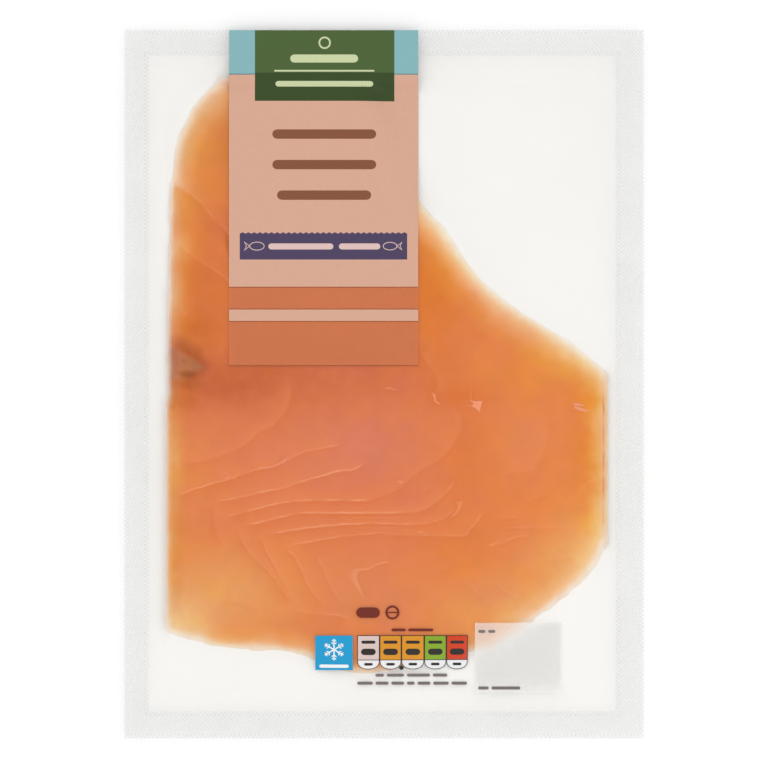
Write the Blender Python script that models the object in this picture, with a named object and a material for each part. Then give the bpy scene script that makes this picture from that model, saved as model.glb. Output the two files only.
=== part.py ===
"""Sealed clear-film pack of smoked salmon slices, lying face up. Metres, +Z up.

The pack is one closed solid: a thin welded rim all round, a shallow rounded pocket
hanging below it with a flat floor that the pack rests on, and an upper film drawn down
over the fish and onto the floor where the pocket is empty. The origin is at the middle of
the underside, +X is the right-hand side and +Y the head of the pack.
"""

import bmesh
import bpy
import numpy as np

# Rim and pocket, all driving dimensions in metres.
PACK_WIDTH = 0.155
PACK_LENGTH = 0.2115
RIM_THICKNESS = 0.0005
MARGIN_LEFT = 0.0124
MARGIN_RIGHT = 0.0101
MARGIN_HEAD = 0.0144
MARGIN_FOOT = 0.0123
POCKET_CORNER = 0.0066
POCKET_DEPTH = 0.0022
WALL_RUN = 0.0016

# Upper film: its height above the floor, and the runs over which it changes height.
FISH_RISE = 0.0040
EMPTY_RISE = 0.0006
WALL_DRAPE = 0.0050
EDGE_TAPER = 0.0060
EDGE_TENT = 0.0040

# Mesh: steps in from each pocket wall, and the largest step between them.
WALL_STEPS = (0.0, 0.5 * WALL_RUN, WALL_RUN, 0.0033, 0.0055)
LARGEST_STEP = 0.0040
SAMPLES_PER_SPAN = 8
COPLANAR_ANGLE = 0.0005

# Free edges of the fish. Points past a pocket wall mean that the fish fills the pocket there.
HEAD_LEFT_EDGE = (
    (-0.0400, 0.0950),
    (-0.0472, 0.0917),
    (-0.0512, 0.0888),
    (-0.0551, 0.0853),
    (-0.0574, 0.0824),
    (-0.0595, 0.0779),
    (-0.0614, 0.0732),
    (-0.0631, 0.0650),
    (-0.0638, 0.0560),
    (-0.0640, 0.0400),
    (-0.0643, 0.0250),
    (-0.0646, 0.0120),
    (-0.0646, 0.0010),
    (-0.0651, -0.0050),
    (-0.0690, -0.0110),
)
FOOT_EDGE = (
    (-0.0690, -0.0722),
    (-0.0650, -0.0738),
    (-0.0593, -0.0759),
    (-0.0548, -0.0769),
    (-0.0509, -0.0783),
    (-0.0420, -0.0791),
    (-0.0295, -0.0800),
    (-0.0235, -0.0811),
    (-0.0205, -0.0828),
    (-0.0140, -0.0856),
    (-0.0010, -0.0860),
    (0.0270, -0.0799),
    (0.0367, -0.0762),
    (0.0588, -0.0592),
    (0.0671, -0.0474),
    (0.0717, -0.0386),
)
HEAD_RIGHT_EDGE = (
    (0.0715, -0.0030),
    (0.0672, 0.0030),
    (0.0534, 0.0138),
    (0.0345, 0.0262),
    (0.0244, 0.0370),
    (0.0178, 0.0466),
    (0.0110, 0.0550),
    (0.0030, 0.0770),
    (-0.0060, 0.0900),
    (-0.0120, 0.0970),
)
FISH_OUTLINE = HEAD_LEFT_EDGE + FOOT_EDGE + HEAD_RIGHT_EDGE


def clear_scene():
    for obj in list(bpy.data.objects):
        bpy.data.objects.remove(obj, do_unlink=True)


def smooth_step(value, low, high):
    """0 below low, 1 above high, and an S-curve between."""
    t = np.clip((value - low) / (high - low), 0.0, 1.0)
    return t * t * (3.0 - 2.0 * t)


def closed_curve(points):
    """A closed Catmull-Rom curve through the points."""
    knots = np.array(points)
    before = np.roll(knots, 1, axis=0)
    after = np.roll(knots, -1, axis=0)
    beyond = np.roll(knots, -2, axis=0)
    rows = []
    for t in np.arange(SAMPLES_PER_SPAN) / SAMPLES_PER_SPAN:
        rows.append(
            0.5
            * (
                2.0 * knots
                + (after - before) * t
                + (2.0 * before - 5.0 * knots + 4.0 * after - beyond) * t**2
                + (3.0 * knots - before - 3.0 * after + beyond) * t**3
            )
        )
    return np.stack(rows, axis=1).reshape(-1, 2)


def depth_inside(outline, x, y):
    """Distance to a closed outline, positive inside it and negative outside."""
    start = outline
    end = np.roll(outline, -1, axis=0)
    along = end - start
    px = x[..., None] - start[:, 0]
    py = y[..., None] - start[:, 1]
    share = (px * along[:, 0] + py * along[:, 1]) / (along**2).sum(axis=1)
    share = np.clip(share, 0.0, 1.0)
    gap = np.hypot(px - share * along[:, 0], py - share * along[:, 1])
    distance = gap.min(axis=-1)
    straddles = (start[:, 1] > y[..., None]) != (end[:, 1] > y[..., None])
    rise = np.where(along[:, 1] == 0.0, 1.0, along[:, 1])
    crosses = px < along[:, 0] * py / rise
    odd = (straddles & crosses).sum(axis=-1) % 2 == 1
    return np.where(odd, distance, -distance)


def pocket_depth_inside(x, y):
    """Distance in from the top edge of the pocket's wall, a rounded rectangle."""
    left = MARGIN_LEFT - PACK_WIDTH / 2
    right = PACK_WIDTH / 2 - MARGIN_RIGHT
    foot = MARGIN_FOOT - PACK_LENGTH / 2
    head = PACK_LENGTH / 2 - MARGIN_HEAD
    over_x = np.abs(x - (left + right) / 2) - (right - left) / 2 + POCKET_CORNER
    over_y = np.abs(y - (foot + head) / 2) - (head - foot) / 2 + POCKET_CORNER
    beyond = np.hypot(np.maximum(over_x, 0.0), np.maximum(over_y, 0.0))
    within = np.minimum(np.maximum(over_x, over_y), 0.0)
    return POCKET_CORNER - beyond - within


def floor_height(x, y):
    """Lower film: level under the rim, down a slanted wall, then a flat floor at zero."""
    down = np.clip(pocket_depth_inside(x, y) / WALL_RUN, 0.0, 1.0)
    return POCKET_DEPTH * (1.0 - down)


def cover_height(x, y, outline):
    """Upper film: level on the rim, draped over the fish, and down where there is none."""
    on_fish = smooth_step(depth_inside(outline, x, y), -EDGE_TENT, EDGE_TAPER)
    contents = EMPTY_RISE + (FISH_RISE - EMPTY_RISE) * on_fish
    draped = smooth_step(pocket_depth_inside(x, y), 0.0, WALL_DRAPE)
    rim_top = POCKET_DEPTH + RIM_THICKNESS
    return rim_top + (contents - rim_top) * draped


def grid_lines(low, high, low_margin, high_margin):
    """Positions across the pack: both outer edges, the steps at each wall, and even steps between."""
    low_wall = [low + low_margin + step for step in WALL_STEPS]
    high_wall = [high - high_margin - step for step in reversed(WALL_STEPS)]
    count = int(np.ceil((high_wall[0] - low_wall[-1]) / LARGEST_STEP))
    between = np.linspace(low_wall[-1], high_wall[0], count + 1)[1:-1]
    return np.array([low, *low_wall, *between, *high_wall, high])


def sheet_faces(mesh, rows, flip):
    """Joins a grid of vertices with quads that face up, or down when flip is set."""
    for row, above in zip(rows[:-1], rows[1:]):
        for i in range(len(row) - 1):
            corners = [row[i], row[i + 1], above[i + 1], above[i]]
            mesh.faces.new(corners[::-1] if flip else corners)


def border(rows):
    """The vertices round the edge of a grid, in order, anticlockwise from above."""
    right = [row[-1] for row in rows]
    left = [row[0] for row in rows]
    return rows[0] + right[1:] + rows[-1][-2::-1] + left[-2:0:-1]


def pack_mesh():
    x_lines = grid_lines(-PACK_WIDTH / 2, PACK_WIDTH / 2, MARGIN_LEFT, MARGIN_RIGHT)
    y_lines = grid_lines(-PACK_LENGTH / 2, PACK_LENGTH / 2, MARGIN_FOOT, MARGIN_HEAD)
    x, y = np.meshgrid(x_lines, y_lines)
    outline = closed_curve(FISH_OUTLINE)
    sheets = []
    mesh = bmesh.new()
    for height in (floor_height(x, y), cover_height(x, y, outline)):
        points = np.stack([x, y, height], axis=-1)
        sheets.append([[mesh.verts.new(point) for point in row] for row in points])
    sheet_faces(mesh, sheets[0], flip=True)
    sheet_faces(mesh, sheets[1], flip=False)
    lower = border(sheets[0])
    upper = border(sheets[1])
    for i in range(len(lower)):
        j = (i + 1) % len(lower)
        mesh.faces.new([lower[i], lower[j], upper[j], upper[i]])
    bmesh.ops.dissolve_limit(
        mesh, angle_limit=COPLANAR_ANGLE, verts=mesh.verts[:], edges=mesh.edges[:]
    )
    bmesh.ops.triangulate(mesh, faces=mesh.faces[:])
    return mesh, outline


def make_material(name, colour, roughness, alpha):
    material = bpy.data.materials.new(name)
    material.use_nodes = True
    shader = material.node_tree.nodes["Principled BSDF"]
    shader.inputs["Base Color"].default_value = (*colour, 1.0)
    shader.inputs["Roughness"].default_value = roughness
    shader.inputs["Metallic"].default_value = 0.0
    shader.inputs["Alpha"].default_value = alpha
    return material


def make_pack():
    mesh, outline = pack_mesh()
    data = bpy.data.meshes.new("sealed_pack")
    data.materials.append(make_material("clear_film", (0.90, 0.90, 0.88), 0.12, 0.35))
    data.materials.append(make_material("smoked_salmon", (0.75, 0.24, 0.09), 0.30, 1.0))
    for face in mesh.faces:
        centre = face.calc_center_median()
        at = (np.array([centre.x]), np.array([centre.y]))
        on_fish = depth_inside(outline, *at)[0] > 0.0
        in_pocket = pocket_depth_inside(*at)[0] > 0.0
        face.material_index = int(on_fish and in_pocket)
        face.smooth = True
    mesh.to_mesh(data)
    mesh.free()
    pack = bpy.data.objects.new("sealed_pack", data)
    bpy.context.scene.collection.objects.link(pack)
    return pack


def main():
    clear_scene()
    make_pack()


main()
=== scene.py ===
"""Looks of the sealed pack of smoked salmon: its films, the fish in it and the print on it.

All sizes are in metres. +X is the pack's right-hand side, +Y its head and +Z up out of its
face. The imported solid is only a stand-in, so the pieces here replace it and ride on its body.
"""

import math

import bmesh
import bpy
import numpy as np
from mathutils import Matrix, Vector


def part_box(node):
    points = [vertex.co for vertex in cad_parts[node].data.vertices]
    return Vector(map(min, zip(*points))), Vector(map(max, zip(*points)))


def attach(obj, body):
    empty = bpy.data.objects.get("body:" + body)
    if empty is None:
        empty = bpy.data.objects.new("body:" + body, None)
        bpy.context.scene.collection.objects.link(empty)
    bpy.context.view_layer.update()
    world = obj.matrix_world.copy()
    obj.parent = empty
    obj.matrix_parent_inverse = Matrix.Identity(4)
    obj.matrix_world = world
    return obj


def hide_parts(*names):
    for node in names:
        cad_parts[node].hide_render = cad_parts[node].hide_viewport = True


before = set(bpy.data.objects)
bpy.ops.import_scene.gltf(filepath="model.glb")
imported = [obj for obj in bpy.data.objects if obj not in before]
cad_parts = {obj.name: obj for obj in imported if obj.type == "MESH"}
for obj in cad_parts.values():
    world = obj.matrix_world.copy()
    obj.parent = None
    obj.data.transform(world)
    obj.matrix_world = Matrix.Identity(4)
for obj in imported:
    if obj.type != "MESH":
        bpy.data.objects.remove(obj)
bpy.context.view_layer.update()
NODE = "sealed_pack"
LOW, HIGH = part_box(NODE)

# ------ the pack
LEFT, RIGHT = LOW[0], HIGH[0]
FOOT, HEAD = LOW[1], HIGH[1]
POCKET_LEFT = LEFT + 0.0124
POCKET_RIGHT = RIGHT - 0.0101
POCKET_FOOT = FOOT + 0.0123
POCKET_HEAD = HEAD - 0.0144
POCKET_CORNER = 0.0066
POCKET_DEPTH = 0.0022
WALL_RUN = 0.0016
# The knurled seal band reaches in this far from each outer edge.
SEAL_LEFT = LEFT + 0.0073
SEAL_RIGHT = RIGHT - 0.0084
SEAL_FOOT = FOOT + 0.0081
SEAL_HEAD = HEAD - 0.0078
KNURL_STEP = 0.0006
KNURL_HEIGHT = 0.00008
SERRATION = 0.00012

# Films, and how the upper one changes height over the fish and beside it.
FILM = 0.00015
WELD_GAP = 0.00002
RIM_TOP = POCKET_DEPTH + 2 * FILM + WELD_GAP
EMPTY_RISE = 0.00045
FISH_RISE = 0.00392
WALL_DRAPE = 0.0050
EDGE_TAPER = 0.0060
EDGE_TENT = 0.0038
FILM_STEP = 0.0009
WALL_STEP = 0.0004
RIM_STEP = 0.0012
# The film's grid is finest from outside each wall to inside it.
WALL_OUTSIDE, WALL_INSIDE = 0.0004, 0.0020
CORNER_RUN = POCKET_CORNER + 0.0006
CREASE_HEIGHT, CREASE_PITCH, CREASE_OUT = 0.00009, 0.0028, 0.0010
SWELL_HEIGHT, SWELL_PITCH = 0.00005, 0.0110

# Fish: two slices, thin at their free edges.
UNDER_SLICE = 0.0017
OVER_SLICE = 0.0017
THIN_EDGE = 0.00006
FILM_GAP = 0.00008
SLICE_GAP = 0.00003
WALL_GAP = 0.00005
WALL_GAP_RIGHT = 0.0005
UNDER_STEP = 0.0009
OVER_STEP = 0.00062
LINE_RELIEF = 0.00003
FLAKE_GAP = 0.00002
FLAKE_THICKNESS = 0.00004
LINE_HALF_WIDTH = 0.00038
LINE_REACH = 0.0100
LIT_RUN, SHADED_RUN = 0.0026, 0.0020
SHARP_STEP, SOFT_STEP = 0.00012, 0.0005
UNDER_TAPER, OVER_TAPER, ALONE_RUN = 0.0060, 0.0055, 0.0070

# Edges of the plates bent by more than this are drawn sharp, in degrees.
SHARP_ANGLE = 50.0

# Places nearer than this are the same place.
TOUCHING = 1e-6

# How milky each surface of a film is, from 0 to 1, and the colours of milk and tint.
SEAL_HAZE = 0.150
FLAT_HAZE = 0.03
POCKET_HAZE = 0.008
LOOSE_HAZE = 0.03
# The knurl's light and shade are painted into its haze: the raised points are milkier and the hollows
# clearer, by this much.
KNURL_PAINTED_SHADE = 0.075
SEAL_MILK, SEAL_TINT = (0.620, 0.623, 0.612), (0.995, 0.995, 0.992)
POUCH_MILK, POUCH_TINT = (0.82, 0.82, 0.81), (0.985, 0.982, 0.975)

# Print on the upper film.
INK_GAP = 0.00004
INK_STEP = 0.000015

# ------ outlines of the fish
# Points past a pocket wall mean that the fish fills the pocket there.
HEAD_LEFT_EDGE = (
    (-.04, .095), (-.0472, .0917), (-.0512, .0888), (-.0551, .0853), (-.0574, .0824), (-.0595, .0779),
    (-.0614, .0732), (-.0631, .065), (-.0638, .056), (-.064, .04), (-.0643, .025), (-.0646, .012),
    (-.0646, .001), (-.0651, -.005), (-.069, -.011),
)
FOOT_EDGE = (
    (-.069, -.0722), (-.065, -.0738), (-.0593, -.0759), (-.0548, -.0769), (-.0509, -.0783),
    (-.042, -.0791), (-.0295, -.08), (-.0235, -.0811), (-.0205, -.0828), (-.014, -.0856), (-.001, -.086),
    (.027, -.0799), (.0367, -.0762), (.0588, -.0592), (.0671, -.0474), (.0717, -.0386),
)
HEAD_RIGHT_EDGE = (
    (.0715, -.003), (.0672, .003), (.0534, .0138), (.0345, .0262), (.0244, .037), (.0178, .0466),
    (.011, .055), (.003, .077), (-.006, .09), (-.012, .097),
)
FISH_OUTLINE = HEAD_LEFT_EDGE + FOOT_EDGE + HEAD_RIGHT_EDGE
# The upper slice stops short of the head on the left, along this edge.
NOTCH_EDGE = (
    (-.08, .064), (-.065, .0606), (-.0623, .0597), (-.0584, .0572), (-.0545, .054), (-.0512, .0501),
    (-.048, .0469), (-.044, .0423), (-.04, .0402), (-.0363, .0405), (-.0295, .0505), (-.022, .0669),
    (-.0145, .0818), (-.0095, .0896), (.002, .11),
)
BEYOND_FISH = ((0.0900, 0.1100), (0.0900, -0.1100), (-0.0800, -0.1100))

# ------ colours, 8-bit sRGB as seen
FLESH = (227, 130, 80)
# Soft patches of flesh: middle, half-widths, share and colour.
FLESH_PATCHES = (
    (-.012, -.021, .033, .021, .85, (218, 127, 100)), (-.042, .003, .033, .011, .95, (198, 102, 68)),
    (-.002, .004, .02, .01, .8, (209, 113, 80)), (-.05, .03, .02, .024, .85, (215, 118, 62)),
    (-.055, .073, .018, .018, .85, (227, 146, 77)), (.05, -.03, .02, .02, .7, (232, 137, 72)),
    (.045, .003, .02, .01, .8, (230, 140, 66)), (.014, .03, .01, .022, .85, (222, 124, 50)),
    (-.05, -.063, .026, .014, .85, (234, 167, 101)), (.036, -.067, .024, .013, .85, (233, 159, 98)),
    (-.058, -.03, .01, .017, .75, (225, 139, 82)), (-.006, -.062, .017, .01, .8, (223, 136, 92)),
    (.042, -.017, .011, .009, .7, (229, 138, 90)), (.06, -.042, .008, .012, .7, (235, 158, 88)),
    # The patch at (.0225, -.0035) is painted shade: darker flesh between the torn flakes.
    (-.047, .076, .0045, .02, .6, (203, 116, 60)), (.0225, -.0035, .0085, .004, .7, (219, 114, 58)),
    (.06, -.023, .0055, .016, .7, (228, 136, 60)), (-.06, -.0045, .0045, .004, .7, (200, 100, 55)),
    (-.0575, .017, .0075, .0045, .7, (205, 107, 54)), (.0612, -.005, .0035, .0026, .7, (226, 126, 42)),
    (-.047, -.001, .009, .0045, .6, (192, 96, 66)), (.044, -.019, .012, .011, .6, (229, 139, 88)),
    (.056, -.052, .012, .009, .7, (239, 178, 112)), (-.0605, -.07, .008, .006, .75, (243, 196, 146)),
    (.022, -.05, .012, .012, .6, (228, 132, 66)), (.025, -.02, .01, .015, .6, (226, 126, 62)),
    (-.0614, .041, .0035, .0045, .8, (237, 174, 116)), (-.062, .0265, .0024, .008, .65, (229, 160, 102)),
    (-.0622, -.022, .002, .012, .6, (236, 166, 108)), (-.0515, .0832, .006, .005, .7, (233, 170, 112)),
    (-.0545, .061, .004, .009, .6, (224, 130, 60)), (.053, .005, .008, .006, .5, (233, 152, 78)),
    # The patch at (-.047, .0432) is painted light, brighter than the flesh round it, to cancel the shade
    # where the upper slice ends there.
    (-.059, .054, .006, .006, .7, (228, 145, 76)), (-.047, .0432, .003, .0045, .9, (242, 138, 76)),
    (.0155, .0035, .006, .007, .6, (219, 118, 62)), (-.01, -.036, .016, .006, .6, (222, 117, 77)),
)
# Stained flesh by the left wall: a corner-to-corner outline, softness, share and colour.
FLESH_STAINS = (
    (((-.0644, .0138), (-.0593, .0138), (-.055, .01), (-.0524, .0056), (-.0545, .0013), (-.0578, -.0017),
      (-.0644, -.0011)), .002, .9, (178, 90, 58)),
    (((-.064, .0104), (-.061, .0096), (-.057, .0076), (-.053, .0047), (-.0573, .0036), (-.0608, .001),
      (-.064, .002)), .0007, .9, (175, 109, 83)),
    (((-.0622, .0122), (-.0608, .012), (-.0572, .0094), (-.058, .0086),
      (-.062, .0108)), .0004, .7, (166, 84, 50)),
    (((-.0602, .0074), (-.0588, .007), (-.059, .0064), (-.0604, .0068)), .0004, .6, (150, 84, 60)),
    (((-.0618, .0036), (-.059, .004), (-.056, .003), (-.058, .0018),
      (-.0606, .002)), .0006, .85, (152, 82, 54)),
    (((-.0652, .011), (-.0622, .0102), (-.0614, .006), (-.0622, .0015),
      (-.0652, .001)), .0008, .7, (158, 84, 58)),
    (((-.0652, .0018), (-.0625, .0018), (-.0615, -.003), (-.0625, -.0075),
      (-.0652, -.008)), .0008, .6, (175, 84, 42)),
)
# Torn ends and loose flakes of flesh: the colour and the corners of each.
FLAKES = (
    ((241, 146, 102), ((.01475, -.00395), (.01493, -.00518), (.01595, -.00595), (.01714, -.00631),
      (.01565, -.00488), (.01544, -.00395), (.01535, -.00285), (.01475, -.00297), (.01398, -.00201))),
    ((244, 157, 119), ((.02669, -.00577), (.02615, -.00661), (.02752, -.00744), (.02848, -.0084),
      (.02907, -.00619), (.02937, -.00506), (.02692, -.00512), (.02528, -.00464))),
    ((236, 134, 87), ((.0257, -.00464), (.02612, -.00464), (.026, .00097), (.02579, .00097))),
    ((236, 133, 80), ((.02364, -.00655), (.02618, -.00667), (.02618, -.00625), (.02364, -.00619),
      (.02155, -.00589))),
    ((240, 158, 120), ((.05691, -.00643), (.05855, -.00667), (.06034, -.00655), (.05867, -.00595),
      (.05735, -.00565), (.05598, -.00577))),
    ((240, 158, 120), ((.05676, -.00726), (.05813, -.00792), (.06052, -.00846), (.06105, -.00798),
      (.05855, -.00691), (.05652, -.00661))),
    ((234, 144, 95), ((.02215, -.03617), (.02143, -.03796), (.01976, -.0399), (.02138, -.03907),
      (.02275, -.03751), (.0234, -.03567), (.02358, -.03471), (.0223, -.03519), (.0212, -.03495))),
    ((238, 142, 90), ((.03003, -.03823), (.02871, -.03865), (.02758, -.0402), (.02633, -.04199),
      (.02424, -.04438), (.02537, -.04378), (.02692, -.04229), (.0283, -.04035), (.02919, -.03916))),
    ((233, 148, 106), ((-.00917, -.0584), (-.00816, -.06078), (-.00565, -.06407), (-.00726, -.06019),
      (-.00804, -.05795), (-.00804, -.05667), (-.00679, -.05553), (-.00959, -.05601))),
    ((234, 144, 109), ((-.03393, -.0251), (-.03155, -.02427), (-.02964, -.02355), (-.0288, -.02248),
      (-.02904, -.02188), (-.03125, -.02337), (-.03393, -.02469), (-.03572, -.02552))),
    ((237, 141, 101), ((-.04646, -.02815), (-.04467, -.02767), (-.04617, -.02755), (-.04542, -.02672),
      (-.04706, -.02755), (-.04825, -.02809))),
    ((227, 132, 98), ((.00127, -.0016), (.00306, -.00195), (.00515, -.00183), (.00336, -.00148),
      (.00157, -.00064), (-.00022, -.00124))),
    ((234, 141, 99), ((.00485, -.02988), (.00634, -.0294), (.00497, -.02862), (.00354, -.02898))),
    ((237, 143, 96), ((.01111, -.04473), (.0129, -.0442), (.01081, -.04372), (.00902, -.04396))),
    ((236, 141, 98), ((.0212, -.0284), (.0206, -.03), (.0193, -.0317), (.018, -.0327), (.019, -.0313),
      (.0202, -.0296))),
    ((240, 149, 86), ((.0317, -.04855), (.03307, -.04784), (.03468, -.04664), (.03289, -.04718),
      (.0311, -.04796))),
    ((233, 128, 83), ((.01081, -.03441), (.01272, -.03334), (.0138, -.03137), (.01201, -.03304),
      (.00992, -.03411))),
)
PALE_FAT = (248, 168, 128)
LIT_FLESH = (236, 143, 94)
SHADED_FLESH = (218, 116, 63)
DARK_FLESH = (205, 104, 62)
THINNEST_FLESH = (247, 242, 237)
# Percentages of the thick flesh's red, green and blue that show at these depths in from an edge.
FADE_DEPTHS = (0.0, 0.00045, 0.0009, 0.0014, 0.0020, 0.00275, 0.0035, 0.0045, 0.006, 0.008, 0.012)
FREE_EDGE_FADES = {
    "head_left": (
        (6, 9, 13, 17, 27, 42, 55, 63, 78, 98, 100),
        (4, 10, 16, 24, 34, 48, 60, 70, 83, 94, 100),
        (6, 11, 17, 25, 35, 49, 61, 73, 85, 96, 100),
    ),
    "left": (
        (0, 9, 46, 59, 61, 70, 72, 81, 95, 105, 100),
        (0, 10, 38, 59, 66, 78, 83, 89, 94, 99, 100),
        (0, 14, 38, 59, 71, 83, 94, 103, 105, 105, 100),
    ),
    "foot": (
        (10, 30, 30, 30, 42, 46, 55, 70, 90, 100, 100),
        (10, 12, 18, 33, 50, 63, 71, 80, 93, 100, 100),
        (12, 14, 22, 40, 57, 73, 83, 93, 102, 103, 100),
    ),
    "foot_right": (
        (10, 20, 25, 25, 25, 25, 32, 52, 72, 84, 100),
        (12, 10, 16, 28, 40, 50, 57, 67, 77, 87, 100),
        (14, 8, 14, 28, 42, 55, 65, 73, 83, 94, 100),
    ),
    "head_right": (
        (0, 1, 1, 1, 3, 6, 12, 28, 57, 90, 100),
        (1, 3, 7, 15, 25, 36, 44, 56, 72, 87, 100),
        (3, 9, 15, 23, 32, 44, 53, 64, 80, 98, 100),
    ),
}
WALL_FADES = {
    "left": (
        (0, 35, 59, 66, 60, 69, 73, 88, 100, 100, 100),
        (0, 25, 50, 67, 74, 80, 90, 95, 100, 100, 100),
        (0, 27, 54, 71, 84, 90, 99, 100, 100, 100, 100),
    ),
    "right": (
        (0, 4, 15, 23, 29, 41, 52, 61, 82, 85, 100),
        (0, 15, 30, 40, 50, 58, 67, 78, 87, 98, 100),
        (5, 25, 35, 46, 58, 71, 81, 92, 99, 105, 100),
    ),
}
# What a swing towards pink does to linear red, green and blue.
PINKER = (-0.02, -0.03, 0.14)

# Lines of fat and flake edges: how pale the line is (below 0 it is dark), how much painted light
# lies on the flesh on the left of its run, how much painted shade on the right, and its points.
FAT_LINES = (
    (.05, .42, .36, ((-.0623, -.0235), (-.0542, -.0229), (-.0483, -.0211), (-.0429, -.0189),
      (-.0372, -.0142), (-.0333, -.0122), (-.0304, -.0093), (-.0286, -.0062), (-.028, -.0023),
      (-.0274, .0019))),
    (.55, .45, .55, ((-.0623, -.0342), (-.0587, -.0321), (-.0545, -.0307), (-.0465, -.0284),
      (-.042, -.0269), (-.0372, -.0253), (-.0327, -.0244), (-.0292, -.0226))),
    (.28, .3, .3, ((-.03, -.023), (-.0248, -.0207), (-.0211, -.0195), (-.0125, -.0179))),
    (.25, .1, .1, ((-.0483, -.0262), (-.0456, -.0275), (-.0429, -.0271))),
    (.42, .35, .4, ((-.0509, -.0363), (-.0489, -.0348), (-.0453, -.0342), (-.036, -.0321),
      (-.0304, -.031), (-.0262, -.0296), (-.0181, -.0272), (-.0131, -.0259), (-.0095, -.0255),
      (-.0053, -.0235), (-.0032, -.0229))),
    (.42, .45, .5, ((-.0483, -.0399), (-.0402, -.0378), (-.0321, -.0357), (-.0238, -.0347),
      (-.0131, -.0345), (-.0041, -.0345), (-.0005, -.0333))),
    (.08, .36, .4, ((-.0041, -.0345), (-.0005, -.0333), (.0028, -.0321), (.0057, -.03), (.0091, -.0272),
      (.012, -.025), (.0156, -.0229), (.0195, -.0195), (.0225, -.0142), (.0231, -.0125),
      (.0213, -.0047))),
    (.45, .45, .5, ((-.0435, -.0429), (-.042, -.042), (-.0378, -.0414), (-.0274, -.0389),
      (-.0223, -.0383), (-.0136, -.0384), (-.0041, -.0384), (.0051, -.0383), (.0101, -.038),
      (.0138, -.0364), (.0174, -.0336), (.0198, -.0309), (.0213, -.0284))),
    (.45, .4, .45, ((-.0366, -.0453), (-.0286, -.0437), (-.0175, -.0423), (-.0053, -.0415),
      (.0034, -.0417), (.0113, -.0417), (.0162, -.0407), (.0193, -.0389), (.0219, -.037),
      (.0236, -.0347))),
    (.42, .4, .35, ((-.0304, -.0484), (-.0236, -.0472), (-.0125, -.0454), (-.0014, -.0444),
      (.0034, -.0448), (.0187, -.0451), (.0242, -.0451), (.0254, -.0432), (.0267, -.0408),
      (.0292, -.0386), (.0302, -.0383))),
    (.5, .2, .25, ((-.0054, -.0648), (-.007, -.0617), (-.0092, -.0586), (-.0098, -.0565),
      (-.0086, -.0555), (-.0051, -.0552), (-.0014, -.0536), (.0029, -.053))),
    (0.0, .15, .45, ((-.051, -.0363), (-.0509, -.0399), (-.05, -.0444), (-.0483, -.0481))),
    (.16, .35, .35, ((-.0436, -.0429), (-.0421, -.0469), (-.039, -.0512), (-.0353, -.0549),
      (-.0322, -.0586), (-.0298, -.0623), (-.0274, -.0654))),
    (.16, .35, .4, ((-.0366, -.0453), (-.0353, -.0488), (-.0322, -.0548), (-.0292, -.0605),
      (-.0262, -.0653))),
    (.22, .4, .3, ((-.0298, -.0488), (-.0268, -.0512), (-.0248, -.0548), (-.023, -.0592),
      (-.0205, -.0629), (-.0175, -.0673))),
    (.18, .25, .15, ((-.0199, -.0512), (-.0181, -.0548), (-.0162, -.0592), (-.0137, -.0635),
      (-.0125, -.0656))),
    (.25, .2, .25, ((-.0274, -.0673), (-.0211, -.0685), (-.0137, -.0688), (-.0095, -.0703))),
    (.15, .15, .2, ((-.0489, -.0638), (-.0421, -.0654), (-.036, -.0679))),
    (.22, .2, .2, ((.0341, -.0401), (.0378, -.0398), (.0403, -.0398))),
    (.26, .2, .2, ((.0329, -.0482), (.0353, -.0472), (.0391, -.0457), (.0439, -.0451))),
    (.16, .15, .2, ((.0353, -.0429), (.0427, -.0427), (.0489, -.0429), (.0551, -.0432))),
    (.22, .25, .25, ((.0421, -.0351), (.0465, -.0336), (.0483, -.0321))),
    (.22, .15, .15, ((.0162, -.0556), (.0187, -.0546))),
    (.16, .2, .15, ((.023, -.058), (.0254, -.0599), (.0286, -.0629), (.0317, -.066), (.0335, -.0679))),
    (.2, .2, .15, ((.0329, -.0583), (.0353, -.0611), (.0384, -.0629), (.0415, -.0642))),
    (.14, .15, .2, ((.0502, -.0524), (.0563, -.0515))),
    (.22, .2, .2, ((.0582, -.0327), (.0606, -.0297), (.0636, -.0284))),
    (.02, .22, .25, ((.0353, -.0271), (.0427, -.0259), (.0451, -.0247), (.0477, -.0204), (.0489, -.016),
      (.0483, -.0099))),
    (.25, .25, .2, ((-.065, .0606), (-.0623, .0597), (-.0584, .0572), (-.0545, .054), (-.0512, .0501),
      (-.048, .0469), (-.0462, .0449), (-.0429, .0412))),
    (.16, .25, .35, ((-.062, .0424), (-.059, .0398), (-.0564, .0378), (-.0526, .0353), (-.0474, .0317),
      (-.0429, .0275))),
    (.18, .2, .15, ((-.0519, .081), (-.0494, .0848), (-.0474, .0881))),
    (.22, .2, .2, ((-.0622, .0236), (-.0605, .0222), (-.0584, .0204))),
    (-.45, 0.0, .1, ((.0655, -.001), (.0656, -.02), (.0655, -.034), (.0654, -.044))),
    (.12, .3, .45, ((.0112, .0096), (.0132, .006), (.0156, .0025), (.0162, -.0002), (.0152, -.003))),
)

# Print on the film.
TURQUOISE = (138, 184, 189)
GREEN = (83, 104, 64)
DEEP_GREEN = (66, 82, 44)
PALE_GREEN = (205, 215, 170)
PEACH = (219, 172, 149)
BROWN = (139, 90, 68)
BORDER_BROWN = (165, 98, 70)
DEEP_TEAL = (100, 138, 140)
NAVY = (85, 75, 102)
PALE_PINK = (225, 195, 190)
SALMON_INK = (223, 134, 93)
DARK_BROWN = (120, 58, 32)
BLUE = (48, 160, 210)
WHITE = (244, 246, 248)
AMBER = (224, 153, 55)
GRASS = (140, 175, 60)
RED = (215, 75, 50)
CLEAR_PINK = (238, 222, 218)
CHARCOAL = (62, 58, 56)
TEXT_GREY = (128, 120, 116)
PANEL_GREY = (257, 256, 253)

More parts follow.
